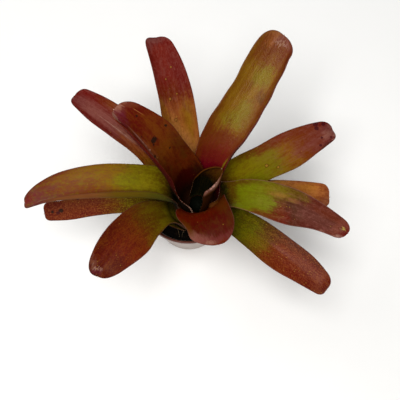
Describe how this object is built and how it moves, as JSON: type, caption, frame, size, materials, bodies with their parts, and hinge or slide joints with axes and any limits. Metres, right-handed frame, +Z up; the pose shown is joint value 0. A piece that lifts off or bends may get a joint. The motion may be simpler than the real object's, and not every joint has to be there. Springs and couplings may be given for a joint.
{
  "type": "potted neoregelia bromeliad",
  "caption": "Small rosette bromeliad with thick gutter-shaped leaves, green at the foot and red-brown at the tip, growing in a round tapered pot.",
  "frame": {"origin": "centre of the pot's underside, on the surface it stands on", "axes": "+Z up through the pot, -Y towards the side that the plant leans to, +X to the right of that side"},
  "size_m": [0.1747, 0.1393, 0.1442],
  "materials": {
    "pot": "satin, pale wall with a terracotta lip",
    "soil": "dark crumbly bark compost",
    "stem": "fleshy, dull",
    "leaf": "waxy, olive green to red-brown"
  },
  "bodies": {
    "root": {"pot": "pot", "soil": "soil", "stem": "stem", "leaf_right_low": "leaf", "leaf_left_low": "leaf", "leaf_right_back": "leaf", "leaf_front_left": "leaf", "leaf_left_back": "leaf", "leaf_front_right": "leaf", "leaf_back_left": "leaf", "leaf_right": "leaf", "leaf_left": "leaf", "leaf_back_right": "leaf", "leaf_front": "leaf", "leaf_upright": "leaf", "leaf_young": "leaf"}
  },
  "joints": []
}
